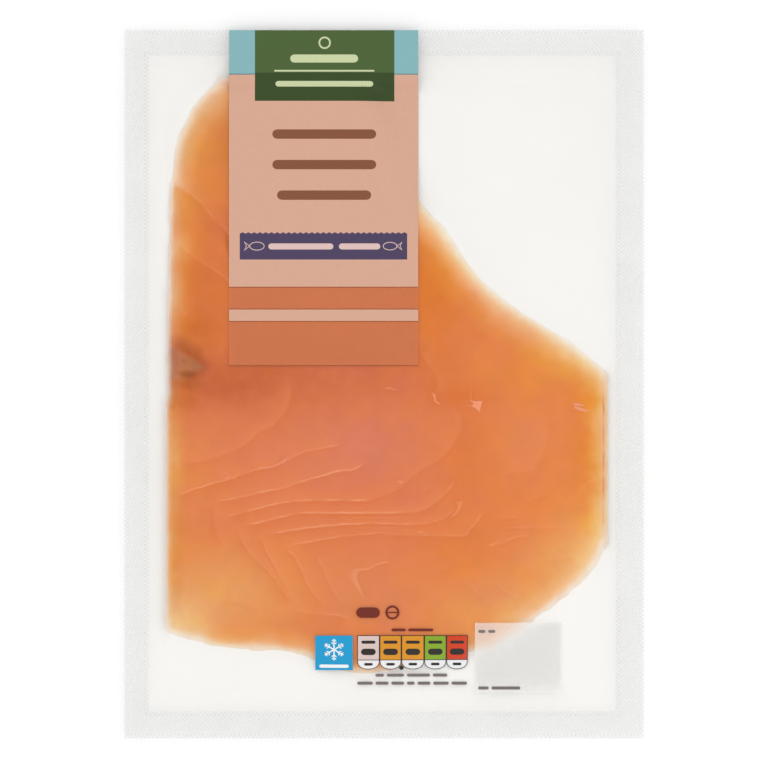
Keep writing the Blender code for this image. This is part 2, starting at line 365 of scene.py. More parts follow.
# Light that the gloss of a surface adds, and how brightly the studio lights what is under it.
FLESH_VEIL, FLESH_GAIN = 0.033, 1.055
INK_VEIL, INK_GAIN = 0.028, 1.11

# Soft noise is drawn on a square of this many random values, entered at this place.
LATTICE, LATTICE_START = 61, 200.0
# Points on each span of a curve.
CURVE_SAMPLES = 8
# A point's line offset where no line is near.
NO_LINE = 9.0

STAGE_HALF, STAGE_GAP = 2.0, 0.00003
SKY_STRENGTH = 1.03
SOFTBOX_SIZE, SOFTBOX_X, SOFTBOX_Y, SOFTBOX_Z = 0.50, 0.40, 0.50, 0.62
HEAD_WATTS, FOOT_WATTS = 0.35, 0.85
CAMERA_HEIGHT = 1.5936
LENS, SENSOR = 250.0, 36.0  # millimetres


# ------ numbers
def to_linear(colour):
    """Scene-linear values of an 8-bit sRGB colour."""
    share = np.array(colour) / 255.0
    return np.where(share <= 0.04045, share / 12.92, ((share + 0.055) / 1.055) ** 2.4)


def smooth_step(value, low, high):
    """0 below low, 1 above high, and an S-curve between."""
    t = np.clip((value - low) / (high - low), 0.0, 1.0)
    return t * t * (3.0 - 2.0 * t)


def soft_noise(x, y, pitch, seed):
    """Smooth noise from -1 to 1, with swellings about one pitch across."""
    lattice = np.random.default_rng(seed).uniform(-1.0, 1.0, (LATTICE, LATTICE))
    u = x / pitch + LATTICE_START
    v = y / pitch + LATTICE_START
    column = np.floor(u).astype(int)
    row = np.floor(v).astype(int)
    across = smooth_step(u - column, 0.0, 1.0)
    up = smooth_step(v - row, 0.0, 1.0)
    sides = []
    for above in (row % LATTICE, (row + 1) % LATTICE):
        start = lattice[above, column % LATTICE]
        sides.append(start + (lattice[above, (column + 1) % LATTICE] - start) * across)
    return sides[0] + (sides[1] - sides[0]) * up


def noises(x, y, *layers):
    """Sum of soft noises, each given as its size, pitch and seed."""
    return sum(size * soft_noise(x, y, pitch, seed) for size, pitch, seed in layers)


def curve_through(points, closed):
    """A Catmull-Rom curve through the points."""
    knots = np.array(points)
    if not closed:
        knots = np.vstack([2 * knots[0] - knots[1], knots, 2 * knots[-1] - knots[-2]])
    before, after, beyond = [np.roll(knots, shift, axis=0) for shift in (1, -1, -2)]
    t = (np.arange(CURVE_SAMPLES) / CURVE_SAMPLES)[None, :, None]
    spans = 0.5 * (
        2.0 * knots[:, None]
        + (after - before)[:, None] * t
        + (2.0 * before - 5.0 * knots + 4.0 * after - beyond)[:, None] * t**2
        + (3.0 * knots - before - 3.0 * after + beyond)[:, None] * t**3
    )
    if closed:
        return spans.reshape(-1, 2)
    return np.vstack([spans[1:-2].reshape(-1, 2), knots[-2]])


def in_chunks(measure, x, y, size=20000):
    """Runs a measure over long arrays a chunk at a time, to save memory."""
    flat = np.stack([np.ravel(x), np.ravel(y)])
    parts = [measure(*flat[:, i : i + size]) for i in range(0, flat.shape[1], size)]
    return np.concatenate(parts).reshape(np.shape(x))


def depth_in_box(x, y, left, right, low, high):
    """Distance in from the nearest side of an oblong."""
    return np.minimum.reduce([x - left, right - x, y - low, high - y])


def depth_inside(outline, x, y):
    """Distance to a closed outline, positive inside it and negative outside."""
    start = outline
    along = np.roll(outline, -1, axis=0) - start
    tops = start[:, 1] + along[:, 1]
    rise = np.where(along[:, 1] == 0.0, 1.0, along[:, 1])

    def measure(x, y):
        px = x[:, None] - start[:, 0]
        py = y[:, None] - start[:, 1]
        share = (px * along[:, 0] + py * along[:, 1]) / (along**2).sum(axis=1)
        share = np.clip(share, 0.0, 1.0)
        gap = np.hypot(px - share * along[:, 0], py - share * along[:, 1]).min(axis=1)
        straddles = (start[:, 1] > y[:, None]) != (tops > y[:, None])
        odd = (straddles & (px < along[:, 0] * py / rise)).sum(axis=1) % 2 == 1
        return np.where(odd, gap, -gap)

    return in_chunks(measure, x, y)


def beside_line(line, x, y):
    """Distance to an open line, plus on its left and minus on its right, and the share of
    the line passed at the nearest point."""
    start = line[:-1]
    along = np.diff(line, axis=0)
    length = np.hypot(*along.T)
    passed = np.concatenate([[0.0], np.cumsum(length)])
    px = x[:, None] - start[:, 0]
    py = y[:, None] - start[:, 1]
    share = np.clip((px * along[:, 0] + py * along[:, 1]) / length**2, 0.0, 1.0)
    gap_x = px - share * along[:, 0]
    gap_y = py - share * along[:, 1]
    gap = np.hypot(gap_x, gap_y)
    nearest = gap.argmin(axis=1)
    row = np.arange(len(x))
    turn = along[nearest, 0] * gap_y[row, nearest] - along[nearest, 1] * gap_x[row, nearest]
    reach = passed[nearest] + share[row, nearest] * length[nearest]
    return np.where(turn >= 0.0, 1.0, -1.0) * gap[row, nearest], reach / passed[-1]


# ------ heights in the pack
OUTLINE = curve_through(FISH_OUTLINE, closed=True)
NOTCH = np.vstack([curve_through(NOTCH_EDGE, closed=False), BEYOND_FISH])


def pocket_depth_inside(x, y):
    """Distance in from the top edge of the pocket's wall, a rounded rectangle."""
    over_x = POCKET_CORNER - np.minimum(x - POCKET_LEFT, POCKET_RIGHT - x)
    over_y = POCKET_CORNER - np.minimum(y - POCKET_FOOT, POCKET_HEAD - y)
    beyond = np.hypot(np.maximum(over_x, 0.0), np.maximum(over_y, 0.0))
    return POCKET_CORNER - beyond - np.minimum(np.maximum(over_x, over_y), 0.0)


def floor_height(x, y):
    """Underside of the lower film: under the rim, down the pocket's wall and along its floor."""
    down = np.clip(pocket_depth_inside(x, y) / WALL_RUN, 0.0, 1.0)
    return POCKET_DEPTH * (1.0 - down)


def cover_height(x, y):
    """Top of the upper film, with the shallow creases where it is drawn down to the floor."""
    fish = depth_inside(OUTLINE, x, y)
    on_fish = smooth_step(fish, -EDGE_TENT, EDGE_TAPER)
    beside = np.exp(-(((fish + CREASE_OUT) / CREASE_PITCH) ** 2))
    creases = CREASE_HEIGHT * beside * soft_noise(x, y, CREASE_PITCH, 11)
    swell = SWELL_HEIGHT * (soft_noise(x, y, SWELL_PITCH, 12) - 1.0)
    contents = EMPTY_RISE + (FISH_RISE - EMPTY_RISE + swell) * on_fish + creases
    draped = smooth_step(pocket_depth_inside(x, y), 0.0, WALL_DRAPE)
    return RIM_TOP + (contents - RIM_TOP) * draped


def wall_depth(x, y):
    """Distance in from the edge of fish that fills the pocket, which is looser on the right."""
    gap = WALL_GAP + (WALL_GAP_RIGHT - WALL_GAP) * smooth_step(x, 0.040, 0.060)
    return pocket_depth_inside(x, y) - gap


def under_depth(x, y):
    """Distance in from the edge of the lower slice, which has a slightly ragged edge."""
    ragged = noises(x, y, (0.00030, 0.0042, 21), (0.00016, 0.0017, 22))
    return np.minimum(depth_inside(OUTLINE, x, y) + ragged, wall_depth(x, y))


def over_depth(x, y):
    """Distance in from the edge of the upper slice, which lies a little inside the lower one."""
    ragged = 0.00035 * soft_noise(x, y, 0.0050, 23)
    inset = 0.0011 + 0.0004 * soft_noise(x, y, 0.0220, 24) - 0.0009 * smooth_step(-x, 0.050, 0.060)
    wall = wall_depth(x, y) - 0.0003
    whole = np.minimum(depth_inside(OUTLINE, x, y) + ragged - inset, wall)
    return np.minimum(whole, depth_inside(NOTCH, x, y) + ragged)


def under_top(x, y):
    """Top of the lower slice, which is thicker past the end of the upper one."""
    thin = smooth_step(under_depth(x, y), 0.0, UNDER_TAPER)
    alone = smooth_step(-depth_inside(NOTCH, x, y), -0.0004, ALONE_RUN)
    full = UNDER_SLICE + OVER_SLICE * alone
    height = floor_height(x, y) + SLICE_GAP + THIN_EDGE + (full - THIN_EDGE) * thin
    return np.minimum(height, cover_height(x, y) - FILM - 2 * FILM_GAP)


def over_top(x, y):
    """Top of the upper slice, just under the film."""
    thin = smooth_step(over_depth(x, y), 0.0, OVER_TAPER)
    height = under_top(x, y) + SLICE_GAP + THIN_EDGE + (OVER_SLICE - THIN_EDGE) * thin
    return np.minimum(height, cover_height(x, y) - FILM - FILM_GAP)


def stepped(*stops):
    """Positions from stop to stop: each pair is a stop and the largest step up to the next."""
    lines = []
    for (start, step), (end, _) in zip(stops[:-1], stops[1:]):
        count = max(1, math.ceil((end - start) / step))
        lines.extend(np.linspace(start, end, count + 1)[:-1])
    return np.array([*lines, stops[-1][0]])


def film_lines(low, pocket_low, pocket_high, high):
    """Grid lines inside the seal band, close together at the pocket's walls."""
    return stepped(
        (low, RIM_STEP), (pocket_low - WALL_OUTSIDE, WALL_STEP),
        (pocket_low + WALL_INSIDE, FILM_STEP), (pocket_low + CORNER_RUN, FILM_STEP),
        (pocket_high - CORNER_RUN, FILM_STEP), (pocket_high - WALL_INSIDE, WALL_STEP),
        (pocket_high + WALL_OUTSIDE, RIM_STEP), (high, 0),
    )


COVER_X = film_lines(SEAL_LEFT, POCKET_LEFT, POCKET_RIGHT, SEAL_RIGHT)
COVER_Y = film_lines(SEAL_FOOT, POCKET_FOOT, POCKET_HEAD, SEAL_HEAD)
COVER_HEIGHT = cover_height(*np.meshgrid(COVER_X, COVER_Y))


# ------ meshes
def new_mesh(name, points, faces):
    data = bpy.data.meshes.new(name)
    data.from_pydata(points.tolist(), [], faces.tolist())
    data.shade_smooth()
    return data


def points_of(data):
    """The x, y and z of a mesh's points."""
    points = np.empty(len(data.vertices) * 3)
    data.vertices.foreach_get("co", points)
    return points.reshape(-1, 3).T


def write_points(data, name, values, kind="FLOAT", field="value"):
    """Writes a value for each of a mesh's points under a name."""
    data.attributes.new(name, kind, "POINT").data.foreach_set(field, np.ravel(values))


def new_object(name, data):
    made = bpy.data.objects.new(name, data)
    bpy.context.scene.collection.objects.link(made)
    return made


def slab_mesh(name, x, y, low, high, keep):
    """A closed plate over the kept cells of a grid, from one height up to another."""
    count = x.size
    number = np.arange(count).reshape(x.shape)
    a, b = number[:-1, :-1], number[:-1, 1:]
    d, c = number[1:, :-1], number[1:, 1:]
    top = np.stack([a, b, c, d], axis=-1)[keep] + count
    bottom = np.stack([d, c, b, a], axis=-1)[keep]
    around = np.pad(keep, 1)
    walls = []
    for start, end, neighbour in (
        (a, b, around[:-2, 1:-1]),
        (b, c, around[1:-1, 2:]),
        (c, d, around[2:, 1:-1]),
        (d, a, around[1:-1, :-2]),
    ):
        edge = keep & ~neighbour
        first, last = start[edge], end[edge]
        walls.append(np.stack([first, last, last + count, first + count], axis=-1))
    faces = np.vstack([top, bottom, *walls])
    points = np.vstack([np.stack([x, y, z], axis=-1).reshape(-1, 3) for z in (low, high)])
    used, faces = np.unique(faces, return_inverse=True)
    data = new_mesh(name, points[used], faces.reshape(-1, 4))
    data.set_sharp_from_angle(angle=math.radians(SHARP_ANGLE))
    return data


def trimmed_grid(step, depth):
    """A grid over the pocket, its kept cells where depth is positive, with the border drawn
    onto the line where depth is zero."""
    x_lines = np.arange(POCKET_LEFT, POCKET_RIGHT + step, step)
    y_lines = np.arange(POCKET_FOOT, POCKET_HEAD + step, step)
    x, y = np.meshgrid(x_lines, y_lines)
    inside = depth(x, y)
    middle = inside[:-1, :-1] + inside[:-1, 1:] + inside[1:, 1:] + inside[1:, :-1]
    keep = middle > 0.0
    around = np.pad(keep, 1)
    beside = np.stack([around[:-1, :-1], around[:-1, 1:], around[1:, 1:], around[1:, :-1]])
    border = beside.any(axis=0) & ~beside.all(axis=0)
    nudge = step / 10
    for _ in range(2):
        bx, by = x[border], y[border]
        here = depth(bx, by)
        slope_x = (depth(bx + nudge, by) - here) / nudge
        slope_y = (depth(bx, by + nudge) - here) / nudge
        share = np.clip(here / np.maximum(slope_x**2 + slope_y**2, 0.3), -step, step)
        x[border] = bx - share * slope_x
        y[border] = by - share * slope_y
    return x, y, keep


def add_piece(name, data, material, stands_in=False):
    data.materials.append(material)
    piece = new_object(name, data)
    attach(piece, "root")
    if stands_in:
        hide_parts(NODE)
    return piece


# ------ materials
class Shading:
    """A material in the making, with short ways to add its nodes."""

    def __init__(self, name):
        self.material = bpy.data.materials.new(name)
        self.material.use_nodes = True
        self.tree = self.material.node_tree
        self.tree.nodes.clear()

    def add(self, kind, output, inputs, **settings):
        """Adds a node, fills its inputs with sockets or values, and gives one of its outputs."""
        node = self.tree.nodes.new("ShaderNode" + kind)
        for setting, value in settings.items():
            setattr(node, setting, value)
        for place, value in inputs.items():
            if isinstance(value, bpy.types.NodeSocket):
                self.tree.links.new(value, node.inputs[place])
            elif isinstance(value, (tuple, np.ndarray)):
                node.inputs[place].default_value = (*value, 1.0)
            else:
                node.inputs[place].default_value = value
        return node.outputs[output] if node.outputs else None

    def noise(self, scale, detail=2.0):
        """Noise over the piece's own coordinates, in swellings per metre."""
        place = self.add("TexCoord", "Object", {})
        return self.add("TexNoise", "Fac", {"Vector": place, "Scale": scale, "Detail": detail})

    def remap(self, source, low, high, start, end):
        """Carries a value from the range low to high over to start to end."""
        return self.add("MapRange", "Result", {
            "Value": source, "From Min": low, "From Max": high, "To Min": start, "To Max": end,
        })

    def maths(self, operation, *terms):
        return self.add("Math", "Value", dict(enumerate(terms)), operation=operation)

    def blend(self, factor, first, second):
        """Mixes two colours, each a socket or linear values."""
        return self.add("Mix", 2, {0: factor, 6: first, 7: second}, data_type="RGBA")

    def mix(self, factor, first, second):
        """Mixes two shaders."""
        return self.add("MixShader", 0, {0: factor, 1: first, 2: second})

    def bump(self, height, distance):
        return self.add("Bump", "Normal", {"Height": height, "Distance": distance})

    def attribute(self, name, output="Fac"):
        """What is written on the mesh's points under a name."""
        return self.add("Attribute", output, {}, attribute_name=name)

    def surface(self, shader):
        """Ends the material with its surface shader."""
        self.add("OutputMaterial", None, {"Surface": shader})
        return self.material

    def principled(self, inputs):
        return self.surface(self.add("BsdfPrincipled", 0, inputs))


def film_material(name, milk_colour, tint, grain, grain_depth):
    """Clear film: mostly see-through, as milky as its points say, and glossier at a slant."""
    net = Shading(name)
    normal = net.bump(net.noise(grain), grain_depth)
    mottle = net.remap(net.noise(90.0), 0.3, 0.7, 0.9, 1.1)
    body = net.mix(
        net.maths("MULTIPLY", mottle, net.attribute("haze")),
        net.add("BsdfTransparent", 0, {"Color": tint}),
        net.add("BsdfDiffuse", 0, {"Color": milk_colour, "Normal": normal}),
    )
    slant = net.maths("POWER", net.add("LayerWeight", "Facing", {"Blend": 0.5}), 4.0)
    gloss = net.add("BsdfGlossy", 0, {"Roughness": 0.20, "Normal": normal})
    return net.surface(net.mix(net.remap(slant, 0.0, 1.0, 0.012, 0.15), body, gloss))


def ink_material(name, colour, alpha=1.0):
    """Printed ink: one colour, with the slight unevenness of a print."""
    net = Shading(name)
    base = np.clip((to_linear(colour) - INK_VEIL) / INK_GAIN, 0.004, 0.95)
    grain = net.remap(net.noise(700.0, 3.0), 0.3, 0.7, 0.0, 1.0)
    return net.principled({
        "Base Color": net.blend(grain, base * 0.985, np.clip(base * 1.015, 0.0, 1.0)),
        "Roughness": 0.42,
        "Specular IOR Level": 0.3,
        "Alpha": alpha,
    })


def flesh_material():
    """Moist flesh: painted colour, thin lines of fat, fine grain and a wet surface."""
    net = Shading("flesh")
    shaded, lit, fat, dark = [
        flesh_base(to_linear(c)) for c in (SHADED_FLESH, LIT_FLESH, PALE_FAT, DARK_FLESH)
    ]
    grain = net.noise(500.0, 1.0)
    fibre = net.noise(260.0)
    colour = net.attribute("flesh", "Color")
    colour = net.blend(net.remap(grain, 0.35, 0.75, 0.0, 0.06), colour, shaded)
    colour = net.blend(net.remap(fibre, 0.45, 0.80, 0.0, 0.16), colour, lit)
    away = net.maths("ABSOLUTE", net.attribute("line_offset"))
    thin = net.remap(away, 0.35, 1.0, 1.0, 0.0)
    pale = net.maths("MULTIPLY", thin, net.attribute("line_strength"))
    colour = net.blend(pale, colour, fat)
    colour = net.blend(net.maths("MULTIPLY", pale, -1.0), colour, dark)
    return net.principled({
        "Base Color": colour,
        "Roughness": net.remap(fibre, 0.3, 0.7, 0.30, 0.46),
        "Specular IOR Level": 0.2,
        "Normal": net.bump(grain, 0.000008),
    })


# ------ the films
def seal_band():
    """The two films welded together round the edge, knurled and cut with a fine zigzag."""
    step = KNURL_STEP
    x_lines = stepped((LEFT, step), (SEAL_LEFT, step), (SEAL_RIGHT, step), (RIGHT, 0))
    y_lines = stepped((FOOT, step), (SEAL_FOOT, step), (SEAL_HEAD, step), (HEAD, 0))
    x, y = np.meshgrid(x_lines, y_lines)
    row, column = np.indices(x.shape)
    checker = np.where((column + row) % 2 == 0, 1.0, -1.0)
    inner_box = (SEAL_LEFT, SEAL_RIGHT, SEAL_FOOT, SEAL_HEAD)
    middle_x, middle_y = [(grid[:-1, :-1] + grid[1:, 1:]) / 2 for grid in (x, y)]
    keep = depth_in_box(middle_x, middle_y, *inner_box) <= 0.0
    in_band = np.minimum(
        depth_in_box(x, y, LEFT, RIGHT, FOOT, HEAD), -depth_in_box(x, y, *inner_box)
    )
    knurl = KNURL_HEIGHT * checker * smooth_step(in_band, 0.0, 2 * step)
    top, bottom = RIM_TOP - KNURL_HEIGHT, POCKET_DEPTH + KNURL_HEIGHT
    outer_x = np.abs(np.abs(x) - RIGHT) < TOUCHING
    outer_y = np.abs(np.abs(y) - HEAD) < TOUCHING
    cut = SERRATION * (checker + 1.0) / 2
    x = np.where(outer_x & ~outer_y, x - np.sign(x) * cut, x)
    y = np.where(outer_y & ~outer_x, y - np.sign(y) * cut, y)
    data = slab_mesh("seal_band", x, y, bottom + knurl, top + knurl, keep)
    heights = points_of(data)[2]
    level = np.where(heights > (RIM_TOP + POCKET_DEPTH) / 2, top, bottom)
    # Painted light and shade of the knurl: the haze rises on its bumps and falls in its hollows.
    write_points(data, "haze", SEAL_HAZE + KNURL_PAINTED_SHADE * (heights - level) / KNURL_HEIGHT)
    material = film_material("seal_film", SEAL_MILK, SEAL_TINT, 1500.0, 0.00002)
    add_piece("seal_band", data, material, stands_in=True)


def film_pouch():
    """The lower film formed into the pocket and the upper one drawn down over the fish, as one
    closed skin that the seal band goes round. It is less milky in the pocket, but more so
    where it lies loose at the head."""
    x, y = np.meshgrid(COVER_X, COVER_Y)
    keep = np.ones(np.subtract(x.shape, 1), bool)
    data = slab_mesh("film_pouch", x, y, floor_height(x, y), COVER_HEIGHT, keep)
    x, y, _ = points_of(data)
    in_pocket = smooth_step(pocket_depth_inside(x, y), -0.0003, 0.0010)
    loose = smooth_step(-depth_inside(OUTLINE, x, y), 0.0, 0.004) * smooth_step(y, -0.01, 0.06)
    haze = FLAT_HAZE + (POCKET_HAZE - FLAT_HAZE) * in_pocket + LOOSE_HAZE * loose
    write_points(data, "haze", haze)
    material = film_material("pouch_film", POUCH_MILK, POUCH_TINT, 300.0, 0.00001)
    add_piece("film_pouch", data, material, stands_in=True)


# ------ the fish
def flesh_base(colour):
    """The flesh's own colour that is seen as this one under the film."""
    return np.clip((colour - FLESH_VEIL) / FLESH_GAIN, 0.004, 0.98)


def flesh_tone(x, y):
    """Colour of thick flesh, in soft patches, with a slight drift in hue and lightness."""
    colour = np.tile(to_linear(FLESH), (len(x), 1))
    for middle_x, middle_y, half_x, half_y, share, tone in FLESH_PATCHES:
        away = ((x - middle_x) / half_x) ** 2 + ((y - middle_y) / half_y) ** 2
        colour += (share * np.exp(-away))[:, None] * (to_linear(tone) - colour)
    for corners, softness, share, tone in FLESH_STAINS:
        inside = depth_inside(np.array(corners), x, y)
        near = (share * smooth_step(inside, -softness, softness))[:, None]
        colour += near * (to_linear(tone) - colour)
    pinker = noises(x, y, (0.6, 0.0070, 41), (0.4, 0.0031, 42))
    lighter = noises(x, y, (0.6, 0.0048, 43), (0.4, 0.0021, 44))
    return colour * (1.0 + 0.04 * lighter[:, None] + pinker[:, None] * np.array(PINKER))


def line_fields(x, y):
    """Near each line: how many half-widths across it a point is, how pale the line is there,
    and the light on its left and the shade on its right."""
    offset = np.full(len(x), NO_LINE)
    strength, lit, shaded = np.zeros((3, len(x)))
    waver = 1.0 + 0.3 * soft_noise(x, y, 0.0016, 51)
    broken = np.clip(0.85 + 0.7 * soft_noise(x, y, 0.0038, 52), 0.15, 1.3)
    shift = 0.00012 * soft_noise(x, y, 0.0014, 53)
    # The long lines grow faint towards the right.
    faint = smooth_step(x, -0.002, 0.010) * (1.0 - smooth_step(x, 0.024, 0.030))
    broken = broken * (1.0 - 0.55 * faint)
    for pale, light, shade, points in FAT_LINES:
        line = curve_through(points, closed=False)
        low = line.min(axis=0) - LINE_REACH
        high = line.max(axis=0) + LINE_REACH
        near = depth_in_box(x, y, low[0], high[0], low[1], high[1]) > 0.0
        gap, passed = beside_line(line, x[near], y[near])
        gap = gap + shift[near]
        away = np.abs(gap)
        ends = smooth_step(passed, 0.0, 0.10) * (1.0 - smooth_step(passed, 0.88, 1.0))
        across = gap / (LINE_HALF_WIDTH * waver[near] * (0.3 + 0.7 * ends))
        soft = SOFT_STEP if pale < 0.1 else SHARP_STEP
        on_left = smooth_step(gap, -soft, soft)
        lit[near] += light * ends * on_left * np.exp(-away / LIT_RUN)
        shaded[near] += shade * ends * (1.0 - on_left) * np.exp(-away / SHADED_RUN)
        closest = np.abs(across) < np.abs(offset[near])
        past = away - LINE_HALF_WIDTH
        seen = pale * (1.0 - smooth_step(past, 0.0008, 0.0015)) * ends * broken[near]
        offset[near] = np.where(closest, across, offset[near])
        strength[near] = np.where(closest, seen, strength[near])
    return offset, strength, np.clip(lit, 0.0, 0.8), np.clip(shaded, 0.0, 0.8)


def faded(fades, depth):
    """The shares of red, green and blue that a fade gives at a depth in from an edge."""
    return np.stack([np.interp(depth, FADE_DEPTHS, row) for row in fades], axis=-1) / 100.0


def thick_share(x, y):
    """How much of the thick flesh's colour shows in red, green and blue: less where the
    slices thin out at their free edges and against the pocket's walls."""
    head_right = smooth_step(x, -0.005, 0.012) * smooth_step(y, -0.020, 0.0)
    foot_right = smooth_step(x, 0.020, 0.040) * smooth_step(-y, 0.020, 0.035)
    foot = smooth_step(-y, 0.050, 0.066) * (1.0 - foot_right)
    left = smooth_step(-x, 0.045, 0.055) * smooth_step(depth_inside(NOTCH, x, y), -0.0003, 0.0008)
    left = left * (1.0 - foot)
    regions = {"head_right": head_right, "foot_right": foot_right, "foot": foot, "left": left}
    regions["head_left"] = 1.0 - sum(regions.values())
    free = depth_inside(OUTLINE, x, y)
    free = free / (1.0 + noises(x, y, (0.22, 0.009, 31), (0.10, 0.003, 32)))
    share = sum(
        weight[:, None] * faded(FREE_EDGE_FADES[name], free) for name, weight in regions.items()
    )
    wall = wall_depth(x, y) / (1.0 + noises(x, y, (0.25, 0.0045, 33), (0.15, 0.0019, 34)))
    sides = {"left": (x < 0.0) * smooth_step(-y, -0.004, 0.008), "right": (x > 0.0) * 1.0}
    for name, weight in sides.items():
        share *= 1.0 + weight[:, None] * (faded(WALL_FADES[name], wall) - 1.0)
    return share


def set_flesh(data, colour, offset, strength):
    """Writes what the flesh material reads: base colour, and the lines' offset and strength."""
    opaque = np.hstack([colour, np.ones((len(colour), 1))])
    write_points(data, "flesh", opaque, "FLOAT_COLOR", "color")
    write_points(data, "line_offset", offset)
    write_points(data, "line_strength", strength)


def add_slice(name, material, *plate):
    """Adds a slice of the given plate, its colour and lines of fat painted on its points."""
    data = slab_mesh(name, *plate)
    x, y, _ = points_of(data)
    colour = flesh_tone(x, y)
    offset, strength, lit, shaded = line_fields(x, y)
    colour += lit[:, None] * (to_linear(LIT_FLESH) - colour)
    colour += shaded[:, None] * (to_linear(SHADED_FLESH) - colour)
    pale = to_linear(THINNEST_FLESH)
    colour = flesh_base(pale * np.clip(colour / pale, 0.01, 1.0) ** thick_share(x, y))
    set_flesh(data, colour, offset, strength)
    add_piece(name, data, material, stands_in=True)


def lower_slice(material):
    x, y, keep = trimmed_grid(UNDER_STEP, under_depth)
    low = floor_height(x, y) + SLICE_GAP
    high = np.maximum(under_top(x, y), low + THIN_EDGE / 2)
    add_slice("lower_slice", material, x, y, low, high, keep)


def upper_slice(material):
    x, y, keep = trimmed_grid(OVER_STEP, over_depth)
    low = under_top(x, y) + SLICE_GAP
    # Low steps in the surface, where flakes of flesh end.
    _, _, lit, shaded = line_fields(x.ravel(), y.ravel())
    relief = LINE_RELIEF * ((lit - shaded).reshape(x.shape) - 1.0)
    high = np.maximum(over_top(x, y) + relief, low + THIN_EDGE / 3)
    add_slice("upper_slice", material, x, y, low, high, keep)


def flakes(material):
    """Torn ends and loose flakes, as thin closed plates that lie on the upper slice."""
    points, faces, colours = [], [], []
    for colour, corners in FLAKES:
        x, y = np.array(corners).T
        count, first = len(x), len(points)
        low = over_top(x, y) + FLAKE_GAP
        for z in (low, low + FLAKE_THICKNESS):
            points.extend(zip(x, y, z))
        under = list(range(first, first + count))
        after = under[1:] + under[:1]
        faces += [[i + count for i in under], under[::-1]]
        faces += [[i, j, j + count, i + count] for i, j in zip(under, after)]
        colours += [flesh_base(to_linear(colour))] * (2 * count)
    data = bpy.data.meshes.new("flakes")
    data.from_pydata(points, [], faces)
    set_flesh(data, np.array(colours), np.full(len(points), NO_LINE), np.zeros(len(points)))
    add_piece("flakes", data, material)


# ------ shapes of the print
# Widths of the lines in the fish marks and the snow crystal.
FISH_LINE, ARM_LINE, TWIG_LINE = 0.00022, 0.00038, 0.00030


def oblong(left, right, low, high):
    return [(left, low), (right, low), (right, high), (left, high)]


def bar(left, right, low, high, ends=7):
    """A bar with half-round ends."""
    radius, middle = (high - low) / 2, (high + low) / 2
    return [
        (centre + radius * math.cos(angle), middle + radius * math.sin(angle))
        for centre, start in ((right - radius, -math.pi / 2), (left + radius, math.pi / 2))
        for angle in np.linspace(start, start + math.pi, ends)
    ]


def words(left, right, low, high, shares):
    """A row of short bars with gaps, in place of a line of small print."""
    gap = (high - low) * 0.9
    room = right - left - gap * (len(shares) - 1)
    shapes = []
    for share in shares:
        end = left + room * share / sum(shares)
        shapes.append(bar(left, end, low, high))
        left = end + gap
    return shapes


def stroke(points, width):
    """Quads along a line, with its corners mitred."""
    line = np.array(points)
    step = np.diff(line, axis=0)
    step = step / np.hypot(step[:, 0], step[:, 1])[:, None]
    before = np.vstack([step[:1], step])
    after = np.vstack([step, step[-1:]])
    if np.allclose(line[0], line[-1]):
        before[0] = step[-1]
        after[-1] = step[0]
    mean = before + after
    mean = mean / np.hypot(mean[:, 0], mean[:, 1])[:, None]
    reach = width / 2 / np.maximum((mean * after).sum(axis=1), 0.4)
    across = np.stack([-mean[:, 1], mean[:, 0]], axis=-1) * reach[:, None]
    left, right = line + across, line - across
    return [[right[i], right[i + 1], left[i + 1], left[i]] for i in range(len(line) - 1)]


def ring(centre, radius, width, sides=24):
    angles = np.linspace(0.0, 2 * math.pi, sides + 1)
    return stroke(np.stack([np.cos(angles), np.sin(angles)], axis=-1) * radius + centre, width)


def fish_mark(centre, length, facing):
    """A plain outline fish: an oval body and a forked tail."""
    turns = np.linspace(0.0, 2 * math.pi, 25)
    body = np.stack([0.36 * np.cos(turns) + 0.14, 0.20 * np.sin(turns)], axis=-1)
    tail = ((-0.22, 0.0), (-0.48, 0.20), (-0.38, 0.0), (-0.48, -0.20), (-0.22, 0.0))
    shapes = []
    for line in (body, tail):
        shapes += stroke(np.array(line) * (facing * length, length) + centre, FISH_LINE)
    return shapes


def towards(degrees):
    """The direction at an angle from +X."""
    angle = math.radians(degrees)
    return np.array([math.cos(angle), math.sin(angle)])


def snow_crystal(centre, radius):
    """Six arms with two pairs of twigs each."""
    shapes = []
    for turn in range(30, 390, 60):
        arm = radius * towards(turn)
        shapes += stroke([centre, centre + arm], ARM_LINE)
        for place, twig in ((0.48, 0.30), (0.74, 0.24)):
            base = centre + arm * place
            for lean in (-50, 50):
                shapes += stroke([base, base + radius * twig * towards(turn + lean)], TWIG_LINE)
    return shapes


def on_film(x, y):
    """Height of the upper film's mesh, or of the seal band beyond it."""
    column = np.clip(np.searchsorted(COVER_X, x) - 1, 0, len(COVER_X) - 2)
    row = np.clip(np.searchsorted(COVER_Y, y) - 1, 0, len(COVER_Y) - 2)
    across = (x - COVER_X[column]) / (COVER_X[column + 1] - COVER_X[column])
    up = (y - COVER_Y[row]) / (COVER_Y[row + 1] - COVER_Y[row])
    near, far = [
        COVER_HEIGHT[i, column] * (1 - across) + COVER_HEIGHT[i, column + 1] * across
        for i in (row, row + 1)
    ]
    box = (COVER_X[0], COVER_X[-1], COVER_Y[0], COVER_Y[-1])
    return np.where(depth_in_box(x, y, *box) < 0.0, RIM_TOP, near * (1 - up) + far * up)


def spots_of(mesh):
    """The x and y of a bmesh's points."""
    return np.array([vert.co[:2] for vert in mesh.verts])


